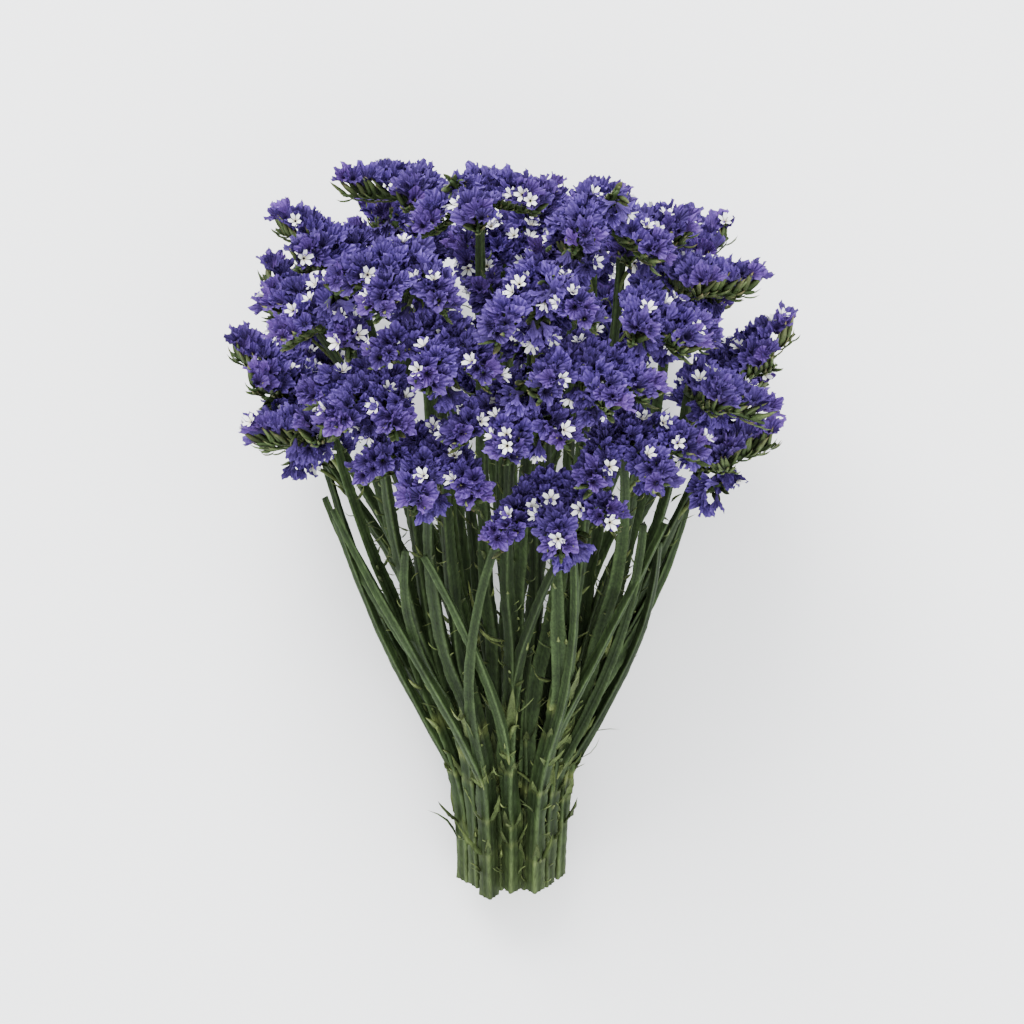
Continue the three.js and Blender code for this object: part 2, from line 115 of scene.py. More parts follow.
def smooth(share):
    kept = min(1.0, max(0.0, share))
    return kept * kept * (3 - 2 * kept)


# A fixed stray number from 0 to 1: thing tells stems, heads or twigs apart, use the places that ask
def chance(thing, use):
    turned = math.sin(thing * 12.9898 + use * 78.233 + bunch["seed"]) * 43758.5453
    return turned - math.floor(turned)


def either(thing, use):
    return 2 * chance(thing, use) - 1


def unit(v):
    return v / np.linalg.norm(v)


# v turned about an axis of length 1
def rotated(v, axis, angle):
    c, s = math.cos(angle), math.sin(angle)
    return v * c + np.cross(axis, v) * s + axis * np.dot(axis, v) * (1 - c)


# How far the outermost stems stand from the middle at a height
def reachAt(up):
    beyond = up - bunch["kneeUp"]
    opened = (beyond + math.hypot(beyond, bunch["kneeSoftness"])) / 2
    return bunch["waistReach"] + bunch["flareSlope"] * opened


# Where points of the upright bunch end up, in metres, once it lies on its back
def laid(points):
    p = np.asarray(points, dtype=float)
    c, s = math.cos(bunch["axisRise"]), math.sin(bunch["axisRise"])
    along = p[..., 2] * c + p[..., 1] * s - bunch["middleAlong"]
    high = p[..., 2] * s - p[..., 1] * c + bunch["footClear"]
    return np.stack([p[..., 0] - bunch["middleAside"], along, high], axis=-1) * mm


# The stems stand in rings of a hexagon, labelled by their place as a share of the outermost reach
def makeStems():
    stems = []
    rings = bunch["stemRings"]
    for row in range(-rings, rings + 1):
        for column in range(-rings, rings + 1):
            if abs(row + column) > rings:
                continue
            x = (column + row / 2) * bunch["stemPitch"] / bunch["footReach"]
            y = row * math.sqrt(0.75) * bunch["stemPitch"] / bunch["footReach"]
            stems.append({"number": len(stems), "label": np.array([x, y]), "heads": []})
    return stems


# Where the tip of a head stands on the dome, and how far it leans outward
def domePlace(number):
    share = (number + 0.5) / bunch["headCount"]
    turn = bunch["firstTurn"] + number * math.pi * (3 - math.sqrt(5))
    angle = math.acos(1 - share * (1 - math.cos(bunch["skirtAngle"])))
    skirt = smooth((angle - bunch["skirtFrom"]) / (bunch["skirtAngle"] - bunch["skirtFrom"]))
    crowded = turn - bunch["frontCrowding"] * math.cos(turn)
    front = smooth(-math.sin(crowded) / bunch["frontAim"])
    side = mix(bunch["leanAtCrown"], bunch["leanAtSide"], smooth(angle / bunch["sideAngle"]))
    droop = bunch["frontDroop"] * front * smooth((angle - bunch["droopFrom"]) / bunch["droopOver"])
    turned = front > bunch["turnedFront"] and angle < bunch["turnedWithin"]
    fall = bunch["frontDrop"] * skirt * skirt * front
    return {
        "label": np.array([math.cos(turn), math.sin(turn)]) * math.sqrt(share),
        "turn": crowded,
        "reach": bunch["domeReach"] * math.sin(angle) + bunch["frontReach"] * skirt * front,
        "up": bunch["domeUp"] + bunch["domeRise"] * math.cos(angle) - fall,
        "lean": bunch["leanTurned"] if turned else mix(side, bunch["leanAtSkirt"], skirt) + droop,
        "turned": turned,
    }


# A point of a head, whose fan of spikes curls up at its far end and down at its sides
def headPoint(head, along, across, height):
    far = np.maximum(0, np.hypot(along, across) - bunch["archFrom"]) / bunch["archOver"]
    bend = bunch["headLift"] * far ** 2 - bunch["headArch"] * (np.asarray(across) / bunch["archWide"]) ** 2
    parts = np.stack(np.broadcast_arrays(along, across, height + bend), axis=-1)
    return head["root"] + parts @ np.stack([head["axis"], head["across"], head["face"]])


def makeHead(number):
    place = domePlace(number)
    leaning = place["lean"] + bunch["leanStray"] * either(number, 1)
    yaw = place["turn"] + bunch["yawStray"] * either(number, 2)
    outward = vec(math.cos(yaw), math.sin(yaw), 0)
    axis = outward * math.sin(leaning) + vec(0, 0, math.cos(leaning))
    face = outward * -math.cos(leaning) + vec(0, 0, math.sin(leaning))
    face = rotated(face, axis, bunch["headTwist"] * either(number, 3) + (math.pi if place["turned"] else 0))
    length = bunch["spikeLength"] * (1 + bunch["sizeStray"] * either(number, 4))
    tip = vec(place["reach"] * math.cos(place["turn"]), place["reach"] * math.sin(place["turn"]), place["up"])
    head = {"number": number, "label": place["label"], "axis": axis, "face": face,
            "across": np.cross(face, axis), "root": tip - axis * length}
    wide = number >= bunch["crownHeads"] and chance(number, 5) < bunch["wideShare"]
    fans = [-bunch["wideFan"], 0, bunch["wideFan"]] if wide else [-bunch["pairFan"], bunch["pairFan"]]
    head["spikes"] = []
    for i, fan in enumerate(fans):
        shrink = bunch["outerSize"] if wide and fan else 1
        head["spikes"].append({"fan": fan + bunch["fanStray"] * either(number, 6 + i),
                               "size": length / bunch["spikeLength"] * shrink})
    head["foot"] = headPoint(head, bunch["footAlong"], 0, bunch["footHeight"])
    return head


# How far a branch is drawn aside at a height, to end at the foot of its head
def pullAt(head, up):
    late = min(1.0, max(0.0, 2 * up / head["foot"][2] - 1))
    offset = head["foot"][:2] - head["label"] * reachAt(head["foot"][2])
    return vec(offset[0], offset[1], 0) * late * late


# Balls round the spikes and the stalk, by which heads keep apart
def giveBalls(head):
    balls = []
    for spike in head["spikes"]:
        for along in bunch["spikeBalls"]:
            far = along * spike["size"]
            ahead, aside = far * math.cos(spike["fan"]), far * math.sin(spike["fan"])
            balls.append([*headPoint(head, ahead, aside, bunch["ballHeight"]), bunch["spikeBall"]])
    for below in bunch["stalkBalls"]:
        up = head["foot"][2] - below
        flow = reachAt(up)
        centre = vec(head["label"][0] * flow, head["label"][1] * flow, up) + pullAt(head, up)
        balls.append([*centre, bunch["stalkBall"]])
    head["balls"] = np.array(balls)


def shoveOf(one, other):
    away = one["balls"][:, None, :3] - other["balls"][None, :, :3]
    gaps = np.sqrt((away ** 2).sum(-1))
    depths = one["balls"][:, None, 3] + other["balls"][None, :, 3] - gaps
    at = np.unravel_index(np.argmax(depths), depths.shape)
    if depths[at] <= 0:
        return None
    return away[at] / gaps[at] * depths[at]


def moveHead(head, step):
    head["root"] = head["root"] + step
    head["foot"] = headPoint(head, bunch["footAlong"], 0, bunch["footHeight"])
    giveBalls(head)


def shoveApart(heads):
    for head in heads:
        giveBalls(head)
    for _ in range(bunch["shoves"]):
        for i, one in enumerate(heads):
            for other in heads[i + 1:]:
                if np.linalg.norm(one["root"] - other["root"]) > bunch["shoveReach"] * bunch["spikeLength"]:
                    continue
                shove = shoveOf(one, other)
                if shove is None:
                    continue
                moveHead(one, shove * bunch["shoveShare"])
                moveHead(other, shove * -bunch["shoveShare"])


# The lowest heads sag until they touch the surface that the bunch lies on
def layHeads(heads):
    down = vec(0, math.cos(bunch["axisRise"]), -math.sin(bunch["axisRise"]))
    for head in heads:
        noses = []
        for spike in head["spikes"]:
            for across in (-bunch["noseAcross"], bunch["noseAcross"]):
                far = bunch["noseAlong"] * spike["size"]
                forward = far * math.cos(spike["fan"]) - across * math.sin(spike["fan"])
                sideways = far * math.sin(spike["fan"]) + across * math.cos(spike["fan"])
                noses.append(laid(headPoint(head, forward, sideways, bunch["noseHeight"]))[2] / mm)
        if min(noses) < bunch["sagReach"]:
            moveHead(head, down * (min(noses) + bunch["sagPast"]))


def giveHeads(stems, heads):
    for head in heads:
        near = min(stems, key=lambda stem: np.linalg.norm(stem["label"] - head["label"]))
        near["heads"].append(head)
    for stem in stems:
        stem["heads"].sort(key=lambda head: np.linalg.norm(head["label"] - stem["label"]))


def branchPoint(branch, up):
    head = branch["head"]
    share = min(1.0, max(0.0, (up - branch["forkUp"]) / (head["foot"][2] - branch["forkUp"])))
    bent = share * (1 + bunch["branchCurve"] - bunch["branchCurve"] * share)
    label = branch["from"] + (head["label"] - branch["from"]) * bent
    return vec(label[0] * reachAt(up), label[1] * reachAt(up), up) + pullAt(head, up)


def waveAt(stem, up):
    begun = smooth((up - bunch["waveFrom"]) / bunch["waveOver"])
    ended = smooth((up - bunch["waveTo"]) / bunch["waveOver"])
    size = bunch["waveSize"] * begun * (1 - ended)
    phase = bunch["phaseRange"] * chance(stem["number"], 11)
    aside, back = math.sin(up / bunch["waveShort"] + phase), math.cos(up / bunch["waveLong"] + phase)
    return vec(size * aside, size * back, 0)


def makeBranches(stem):
    branches = []
    for place, head in enumerate(stem["heads"]):
        forkUp = bunch["forkFrom"] + bunch["forkRange"] * chance(stem["number"], 12)
        forkUp += bunch["forkStep"] * max(0, place - 1)
        branch = {"stem": stem, "head": head, "forkUp": forkUp, "from": stem["label"], "main": place == 0}
        if place > 0:
            start = branchPoint(branches[0], forkUp) - pullAt(head, forkUp)
            branch["from"] = start[:2] / reachAt(forkUp)
        branches.append(branch)
    return branches


def pathPoint(branch, up):
    return branchPoint(branch, up) + waveAt(branch["stem"], up)


def tangentAt(branch, up):
    return unit(pathPoint(branch, up + 0.5) - pathPoint(branch, up - 0.5))


stems = makeStems()
heads = [makeHead(number) for number in range(bunch["headCount"])]
shoveApart(heads)
layHeads(heads)
giveHeads(stems, heads)
branches = [branch for stem in stems for branch in makeBranches(stem)]


twigs = {
    "count": 2, "below": 12, "belowRange": 34,  # twigs tried on a branch, and how far below its head
    "clear": 15, "roof": 14,  # least height over the fork, and most over the root of the head
    "length": 20, "lengthRange": 18, "bow": 11, "yawRange": 1.5, "frontward": 0.4,
    "faceRise": 0.5, "faceAside": 0.5, "reach": 12, "reachLow": 0.7, "reachRange": 0.6,
    "rings": 9, "sides": 5, "radius": 1.1, "rootRadius": 1.3, "taper": 0.5, "paint": (0.75, 0.35),
}


# A thin side twig below a head, which ends in a short spike of its own
def makeTwig(branch, number):
    head = branch["head"]
    key = head["number"] + 50 * number
    up = head["foot"][2] - twigs["below"] - twigs["belowRange"] * chance(key, 41)
    if up < branch["forkUp"] + twigs["clear"]:
        return None
    yaw = math.atan2(head["label"][1], head["label"][0]) + twigs["yawRange"] * either(key, 42)
    aside = vec(math.cos(yaw), math.sin(yaw) - twigs["frontward"], 0)
    start, tangent = pathPoint(branch, up), tangentAt(branch, up)
    length = twigs["length"] + twigs["lengthRange"] * chance(key, 43)
    bow = aside * twigs["bow"]
    axis = unit(tangent * length + bow * 2)
    face = vec(0, -1, twigs["faceRise"]) + aside * twigs["faceAside"]
    face = unit(face - axis * (face @ axis))
    end = start + tangent * length + bow
    if (end + axis * twigs["reach"])[2] > head["root"][2] + twigs["roof"]:
        return None
    reach = twigs["reach"] * (twigs["reachLow"] + twigs["reachRange"] * chance(key, 44))
    spray = {"root": end, "axis": axis, "face": face, "across": np.cross(face, axis),
             "spikes": [{"fan": 0, "size": 1, "reach": reach}]}
    return {"branch": branch, "start": start, "tangent": tangent, "length": length, "bow": bow,
            "spray": spray}


crossing = {
    "from": 58, "fromRange": 70, "to": 200, "toRange": 22, "swing": 0.2, "swingRange": 0.5, "swingCurve": 1.2,
    "inside": 0.96, "bulge": 4, "outerShare": 0.6, "frontShare": 0.3,  # which stems carry them
    "rings": 44, "wing": 3.7, "thin": 0.4, "valley": 0.5, "wingSpin": 3, "ringSpin": 0.01, "wingStep": 3.3,
    "pale": 0.7, "paleRings": 3, "leafStand": 2, "leafOut": 0.4, "leafSlope": 0.4, "leafSlopeRange": 0.5,
    "leafLength": 5, "leafLengthRange": 10, "leafWidth": 1.4, "leafWidthRise": 0.12,
}


# A long thin twig that leaves an outer stem low down and slants across its neighbours
def makeCrossing(branch, side):
    stem = branch["stem"]
    key = stem["number"] + 70 * (side + 2)
    up = crossing["from"] + crossing["fromRange"] * chance(key, 46)
    rise = crossing["to"] + crossing["toRange"] * chance(key, 47) - up
    start = pathPoint(branch, up)
    yaw = math.atan2(start[1], start[0])
    swing = side * (crossing["swing"] + crossing["swingRange"] * chance(key, 48))
    points = []
    for share in np.linspace(0, 1, crossing["rings"]):
        reach = mix(math.hypot(start[0], start[1]), reachAt(up + rise) * crossing["inside"], share)
        reach += crossing["bulge"] * math.sin(math.pi * share)
        angle = yaw + swing * share ** crossing["swingCurve"]
        points.append(vec(reach * math.cos(angle), reach * math.sin(angle), up + rise * share))
    return {"branch": branch, "points": points, "key": key}


def isOuter(stem):
    return np.linalg.norm(stem["label"]) > crossing["outerShare"]


outerMains = [branch for branch in branches if branch["main"] and isOuter(branch["stem"])]
crossings = [makeCrossing(branch, side) for branch in outerMains for side in (-1, 1)
             if branch["stem"]["label"][1] < crossing["frontShare"]]
sideTwigs = [makeTwig(branch, number) for branch in branches for number in range(twigs["count"])]
sideTwigs = [twig for twig in sideTwigs if twig]
print(f"{len(stems)} stems, {len(branches)} branches, {len(heads)} heads, {len(sideTwigs)} twigs")


# Vertices, faces and paint of one piece, gathered before its mesh is made
def newPiece():
    return {"points": [], "faces": [], "paint": [], "count": 0}


# Adds one closed part to a piece, with one paint for it all or one for each point
def addPart(piece, points, faces, paint):
    points = np.asarray(points, dtype=float).reshape(-1, 3)
    piece["points"].append(points)
    piece["faces"].extend([tuple(int(i) + piece["count"] for i in face) for face in faces])
    piece["paint"].append(np.broadcast_to(np.asarray(paint, dtype=float), (len(points), 3)))
    piece["count"] += len(points)


def gridFaces(rows, columns):
    faces = []
    for i in range(rows - 1):
        for j in range(columns):
            k = (j + 1) % columns
            faces.append((i * columns + j, i * columns + k, (i + 1) * columns + k, (i + 1) * columns + j))
    return faces


# Makes the mesh of a piece, laid down and kept just over the floor, and gives it to the frame
def finishPiece(name, piece, material, slotName, replaced=None, crisp=False):
    points = laid(np.concatenate(piece["points"]))
    points[:, 2] = np.maximum(points[:, 2], overFloor)
    mesh = bpy.data.meshes.new(name)
    mesh.from_pydata(points.tolist(), [], piece["faces"])
    paint = mesh.color_attributes.new("paint", "FLOAT_COLOR", "POINT")
    values = np.ones((len(points), 4), dtype=np.float32)
    values[:, :3] = np.concatenate(piece["paint"])
    paint.data.foreach_set("color", values.ravel())
    mesh.polygons.foreach_set("use_smooth", np.full(len(mesh.polygons), not crisp))
    mesh.materials.append(material)
    mesh.update()
    made = bpy.data.objects.new(name, mesh)
    bpy.context.scene.collection.objects.link(made)
    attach(made, "root")
    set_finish(made, slotName)
    if replaced:
        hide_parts(replaced)


print("materials")


blotch = {"inputs": {"Size": 200, "Along": 1, "Low": 0.7, "High": 1.2}, "detail": 3, "roughness": 0.6,
          "darkest": 0.3, "lightest": 0.7}


# Soft blotches, for the uneven tone of papery and leafy surfaces
def blotchGroup():
    group = bpy.data.node_groups.new("blotches", "ShaderNodeTree")
    for name, value in blotch["inputs"].items():
        group.interface.new_socket(name, in_out="INPUT", socket_type="NodeSocketFloat").default_value = value
    group.interface.new_socket("Tone", in_out="OUTPUT", socket_type="NodeSocketFloat")
    inside = group.nodes.new("NodeGroupInput")
    outside = group.nodes.new("NodeGroupOutput")
    place = group.nodes.new("ShaderNodeTexCoord")
    stretch = group.nodes.new("ShaderNodeCombineXYZ")
    stretch.inputs["X"].default_value = 1
    stretch.inputs["Z"].default_value = 1
    stretched = group.nodes.new("ShaderNodeVectorMath")
    stretched.operation = "MULTIPLY"
    noise = group.nodes.new("ShaderNodeTexNoise")
    noise.inputs["Detail"].default_value = blotch["detail"]
    noise.inputs["Roughness"].default_value = blotch["roughness"]
    spread = group.nodes.new("ShaderNodeMapRange")
    spread.inputs["From Min"].default_value = blotch["darkest"]
    spread.inputs["From Max"].default_value = blotch["lightest"]
    group.links.new(inside.outputs["Along"], stretch.inputs["Y"])
    group.links.new(place.outputs["Object"], stretched.inputs[0])
    group.links.new(stretch.outputs["Vector"], stretched.inputs[1])
    group.links.new(stretched.outputs["Vector"], noise.inputs["Vector"])
    group.links.new(inside.outputs["Size"], noise.inputs["Scale"])
    group.links.new(noise.outputs["Fac"], spread.inputs["Value"])
    group.links.new(inside.outputs["Low"], spread.inputs["To Min"])
    group.links.new(inside.outputs["High"], spread.inputs["To Max"])
    group.links.new(spread.outputs["Result"], outside.inputs["Tone"])
    return group


blotches = blotchGroup()


# A material whose colour runs through the given tones by the red of the paint, towards a second
# colour by the green of it, and is dimmed or lit by the blue of it and by blotches
def paintedMaterial(name, look):
    material = bpy.data.materials.new(name)
    material.use_nodes = True
    tree = material.node_tree
    shader = tree.nodes["Principled BSDF"]
    shader.inputs["Roughness"].default_value = look["roughness"]
    shader.inputs["Specular IOR Level"].default_value = look["specular"]
    paint = tree.nodes.new("ShaderNodeVertexColor")
    paint.layer_name = "paint"
    parts = tree.nodes.new("ShaderNodeSeparateColor")
    tree.links.new(paint.outputs["Color"], parts.inputs["Color"])
    ramp = tree.nodes.new("ShaderNodeValToRGB")
    while len(ramp.color_ramp.elements) < len(look["tones"]):
        ramp.color_ramp.elements.new(0.5)
    for element, (place, color) in zip(ramp.color_ramp.elements, look["tones"]):
        element.position = place
        element.color = (*color, 1)
    tree.links.new(parts.outputs["Red"], ramp.inputs["Fac"])
    second = tree.nodes.new("ShaderNodeMix")
    second.data_type = "RGBA"
    second.inputs["B"].default_value = (*look["second"], 1)
    tree.links.new(parts.outputs["Green"], second.inputs["Factor"])
    tree.links.new(ramp.outputs["Color"], second.inputs["A"])
    own = tree.nodes.new("ShaderNodeMapRange")
    own.inputs["To Min"].default_value = look["ownLow"]
    own.inputs["To Max"].default_value = look["ownHigh"]
    tree.links.new(parts.outputs["Blue"], own.inputs["Value"])
    light = own.outputs["Result"]
    for settings in look["blotches"]:
        tone = tree.nodes.new("ShaderNodeGroup")
        tone.node_tree = blotches
        for socket, value in zip(blotch["inputs"], settings):
            tone.inputs[socket].default_value = value
        both = tree.nodes.new("ShaderNodeMath")
        both.operation = "MULTIPLY"
        tree.links.new(tone.outputs["Tone"], both.inputs[0])
        tree.links.new(light, both.inputs[1])
        light = both.outputs["Value"]
    shade = tree.nodes.new("ShaderNodeVectorMath")
    shade.operation = "SCALE"
    tree.links.new(second.outputs["Result"], shade.inputs["Vector"])
    tree.links.new(light, shade.inputs["Scale"])
    tree.links.new(shade.outputs["Vector"], shader.inputs["Base Color"])
    return material


calyxLook = {
    "roughness": 0.8, "specular": 0.25,
    # The lowest tones colour the foot of the calyx tube near black, which is painted shade deep in the
    # funnel; the highest tones colour the rim.
    "tones": [(0.0, (0.013, 0.007, 0.031)), (0.4, (0.037, 0.020, 0.108)), (0.8, (0.067, 0.037, 0.192)),
              (1.0, (0.118, 0.074, 0.300))],
    "second": (0.105, 0.040, 0.195), "ownLow": 0.60, "ownHigh": 1.24,
    "blotches": [(260, 1, 0.75, 1.25), (1300, 1, 0.65, 1.4)],
}
corollaLook = {
    "roughness": 0.6, "specular": 0.3,
    "tones": [(0.0, (0.42, 0.38, 0.22)), (0.3, (0.78, 0.78, 0.74)), (0.6, (0.90, 0.90, 0.90)),
              (1.0, (0.93, 0.93, 0.94))],
    "second": (0.9, 0.9, 0.9), "ownLow": 0.87, "ownHigh": 0.92,
    "blotches": [(300, 1, 0.95, 1.03)],
}
bractLook = {
    "roughness": 0.7, "specular": 0.2,
    "tones": [(0.0, (0.018, 0.032, 0.010)), (0.5, (0.040, 0.066, 0.020)), (0.85, (0.085, 0.115, 0.040)),
              (1.0, (0.160, 0.125, 0.065))],
    "second": (0.150, 0.060, 0.050), "ownLow": 0.69, "ownHigh": 1.15,
    "blotches": [(220, 1, 0.75, 1.2), (1300, 1, 0.7, 1.3)],
}
stemLook = {
    "roughness": 0.7, "specular": 0.15,
    "tones": [(0.0, (0.007, 0.013, 0.004)), (0.45, (0.019, 0.034, 0.010)), (0.85, (0.035, 0.057, 0.019)),
              (1.0, (0.064, 0.094, 0.038))],
    "second": (0.170, 0.205, 0.060), "ownLow": 0.69, "ownHigh": 1.15,
    "blotches": [(90, 1, 0.7, 1.3), (900, 0.08, 0.6, 1.4)],
}
calyxViolet = paintedMaterial("papery violet calyx", calyxLook)
corollaWhite = paintedMaterial("white corolla", corollaLook)
bractGreen = paintedMaterial("green bract", bractLook)
stemGreen = paintedMaterial("green stem", stemLook)

print("calyces and corollas")

floret = {
    "around": 24, "size": 0.88, "sizeStray": 0.15, "openShare": 0.1,
    "radii": [0.7, 1.5, 3.1, 4.8],  # rings from the foot of the tube to the rim
    "heights": [-8.0, -3.8, -1.0, 1.4],
    "folds": [0, 0.15, 0.6, 1.0],  # how far each ring shares in the pleats and ruffles
    "fold": 0.7, "pinch": 0.35, "ruffle": 1.15, "lobe": 0.12, "torn": 0.3, "uneven": (0.4, 1.4),
    "phase": 6, "smallWaves": 0.7,
    # tone and toneStep paint the rings darker down towards the foot of the tube, which is painted shade deep
    # in the funnel; toneFold paints the raised pleats lighter and the sunk ones darker, which is painted
    # light and shade on the folds that also marks the veins of the paper.
    "tone": 0.15, "toneStep": 0.27, "toneFold": 0.2, "toneStray": 0.1, "lateTone": 0.5,
}
# Where calyces sit on a spike: along it, aside and over it, in a middle row and two side rows
calyxRow = {
    "step": 4.9, "first": 2.0, "last": 46.0, "starts": (0, 0.5, 0.25), "lateFrom": 28, "lateOver": 18,
    "sideAcross": 6.5, "sideNarrow": 2.0, "sideHeight": 8.6, "sideHeightStray": 1.8, "sideDrop": 1.0,
    "middleAcross": 2.2, "middleHeight": 13.0, "middleHeightStray": 1.2, "middleDrop": 3.0,
    "lateShift": 2.0, "alongStray": 0.9,
    "lateFace": 0.2, "asideTilt": 0.95, "asideStray": 0.55,
    "aheadTilt": 0.2, "lateTilt": 0.95, "aheadStray": 0.55,
}


# A head's own spikes and those of its side twigs
def spraysOf(head):
    return [head] + [twig["spray"] for twig in sideTwigs if twig["branch"]["head"] is head]


def spikePoint(head, spike, along, across, height):
    c, s = math.cos(spike["fan"]), math.sin(spike["fan"])
    return headPoint(head, along * c - across * s, along * s + across * c, height)


# Where each calyx of a head opens: the middle of its mouth and the way that it faces
def calyxPlaces(head, draw):
    row, places = calyxRow, []
    for spike in head["spikes"]:
        ahead = math.cos(spike["fan"]) * head["axis"] + math.sin(spike["fan"]) * head["across"]
        aside = -math.sin(spike["fan"]) * head["axis"] + math.cos(spike["fan"]) * head["across"]
        for side in (-1, 0, 1):
            start = row["first"] + row["step"] * row["starts"][side]
            for along in np.arange(start, spike.get("reach", row["last"]) + 0.1, row["step"]):
                late = smooth((along - row["lateFrom"]) / row["lateOver"])
                stray = draw.uniform(-1, 1, 6)
                if side:
                    across = side * (row["sideAcross"] - row["sideNarrow"] * late) + stray[0]
                    height = row["sideHeight"] + row["sideHeightStray"] * stray[1]
                    height -= row["sideDrop"] * late
                else:
                    across = row["middleAcross"] * stray[0]
                    height = row["middleHeight"] + row["middleHeightStray"] * stray[1]
                    height -= row["middleDrop"] * late
                at = (along + row["lateShift"] * late + row["alongStray"] * stray[2]) * spike["size"]
                sideways = row["asideTilt"] * side + row["asideStray"] * stray[3]
                forward = row["aheadTilt"] + row["lateTilt"] * late + row["aheadStray"] * stray[4]
                upright = head["face"] * (1 - row["lateFace"] * late)
                places.append({"mouth": spikePoint(head, spike, at, across, height),
                               "facing": unit(upright + aside * sideways + ahead * forward),
                               "ahead": ahead, "late": late,
                               "size": floret["size"] + floret["sizeStray"] * stray[5]})
    return places


# Two directions across a facing one, of which the first leans towards the guide
def frameOf(facing, guide):
    x = unit(np.cross(facing, np.cross(guide, facing)))
    return x, np.cross(facing, x)


# A tube that opens to a limb, pleated and ruffled like thin paper
def addCalyx(piece, place, draw):
    around = floret["around"]
    x, y = frameOf(place["facing"], place["ahead"])
    phase = draw.uniform(0, 2 * math.pi)
    turns = np.arange(around) * 2 * math.pi / around + phase
    own = draw.random()
    zigzag = np.where(np.arange(around) % 2 == 0, 1.0, -1.0)
    uneven = draw.uniform(*floret["uneven"], around)
    waves = np.sin(3 * turns + draw.uniform(0, floret["phase"]))
    waves = waves + floret["smallWaves"] * np.sin(5 * turns + draw.uniform(0, floret["phase"]))
    rows, paint = [], []
    for i, (radius, height, fold) in enumerate(zip(floret["radii"], floret["heights"], floret["folds"])):
        folded = fold * zigzag * uneven
        torn = floret["torn"] * fold * draw.uniform(-1, 1, around)
        r = radius * place["size"] * (1 + floret["lobe"] * fold * waves) - floret["pinch"] * folded + torn
        h = height * place["size"] + floret["fold"] * folded + floret["ruffle"] * fold * waves
        row = place["mouth"] + np.outer(r * np.cos(turns), x) + np.outer(r * np.sin(turns), y)
        rows.append(row + np.outer(h, place["facing"]))
        # Each ring is a tone darker than the one above it, down to the foot of the tube, which is painted
        # shade deep in the funnel. The raised pleats are painted lighter and the sunk ones darker, which is
        # painted light and shade on the folds that also stands for the veins.
        tone = floret["tone"] + floret["toneStep"] * i + floret["toneFold"] * fold * zigzag
        tone = np.clip(tone + draw.uniform(-floret["toneStray"], floret["toneStray"], around), 0, 1)
        late = np.full(around, floret["lateTone"] * place["late"] * own)
        paint.append(np.stack([tone, late, np.full(around, own)], -1))
    addPart(piece, np.concatenate(rows), gridFaces(len(rows), around), np.concatenate(paint))


corolla = {"radius": 4.0, "smallest": 0.85, "largest": 1.08, "stand": 1.4, "throat": 0.7,
           "bendLow": -0.4, "bendHigh": 0.5, "petals": 5}


# Five thin white petals that stand in the mouth of an open calyx
def addCorolla(piece, place, draw):
    x, y = frameOf(place["facing"], place["ahead"])
    phase = draw.uniform(0, 2 * math.pi)
    centre = place["mouth"] + place["facing"] * corolla["stand"]
    size = corolla["radius"] * draw.uniform(corolla["smallest"], corolla["largest"])
    throat = corolla["throat"]
    own = draw.random()
    # distance from the middle, turn in degrees, height and paint of a petal's points
    petal = [(throat, -34, -1.6, 0.0), (throat, 34, -1.6, 0.0), (size * 0.5, 0, -0.1, 0.5),
             (size * 0.6, -29, 0.5, 0.6), (size * 0.6, 29, 0.5, 0.6), (size, -11, 1.5, 1.0),
             (size, 11, 1.5, 1.0), (size * 0.93, 0, 1.2, 0.9)]
    faces = [(0, 1, 2), (0, 2, 3), (1, 4, 2), (3, 2, 7, 5), (2, 4, 6, 7)]
    for lobe in range(corolla["petals"]):
        turn = phase + lobe * 2 * math.pi / corolla["petals"]
        bend = draw.uniform(corolla["bendLow"], corolla["bendHigh"])
        points, paint = [], []
        for far, spread, lift, tone in petal:
            a = turn + spread * degree
            height = lift + bend * (far / size) ** 2
            points.append(centre + x * far * math.cos(a) + y * far * math.sin(a) + place["facing"] * height)
            paint.append((tone, 0, own))
        addPart(piece, points, faces, paint)


for head in heads:
    draw = np.random.default_rng(1000 + head["number"])
    name = f"{head['number'] + 1:02d}"
    calyces, corollas = newPiece(), newPiece()
    places = [place for spray in spraysOf(head) for place in calyxPlaces(spray, draw)]
    for place in places:
        addCalyx(calyces, place, draw)
        if draw.random() < floret["openShare"]:
            addCorolla(corollas, place, draw)
    finishPiece(f"calyces_{name}", calyces, calyxViolet, "calyx", f"head_{name}", crisp=True)
    if corollas["count"]:
        finishPiece(f"corollas_{name}", corollas, corollaWhite, "corolla")

print("bracts")

bract = {
    "step": 3.6, "first": 3, "firstStep": 1.2, "last": 45, "lateFrom": 25, "lateOver": 22,
    "rachis": 2.3, "rachisEnd": 0.7, "rachisHeight": -1.5, "rachisBefore": 2, "rachisPaint": (0.4, 0, 0.5),
    "rings": 7, "sides": 6,
    "red": 0.9, "redAbove": 0.6, "alongStray": 1.6,
    "rootBack": 5, "rootAcross": 0.6, "rootHeight": -2.0, "keelDrop": 0.6,
    "tipAhead": 2, "keelAhead": 1.5, "aheadStray": 2.2,
    "across": 3.6, "lateNarrow": 0.3, "acrossStray": 1.5,
    "sideHeight": 0.4, "keelHeight": -2.6, "heightStray": 1.2,
    "width": 2.9, "widthStray": 0.35, "thickness": 0.7, "bend": 0.12, "kept": 0.8, "fat": 0.68, "tone": 0.3,
}
# The sheaths that stand up between the calyces, which share their roots with the side bracts
sheath = {
    "ahead": 4, "alongStray": 2.5, "across": 5.6, "acrossStray": 1.4, "height": 6, "heightStray": 3,
    "thickness": 0.5, "bend": 0.1, "tone": 0.35, "red": 0.6,
}


blade = {"round": 0.8, "hollow": 0.25, "tipTone": 0.6}


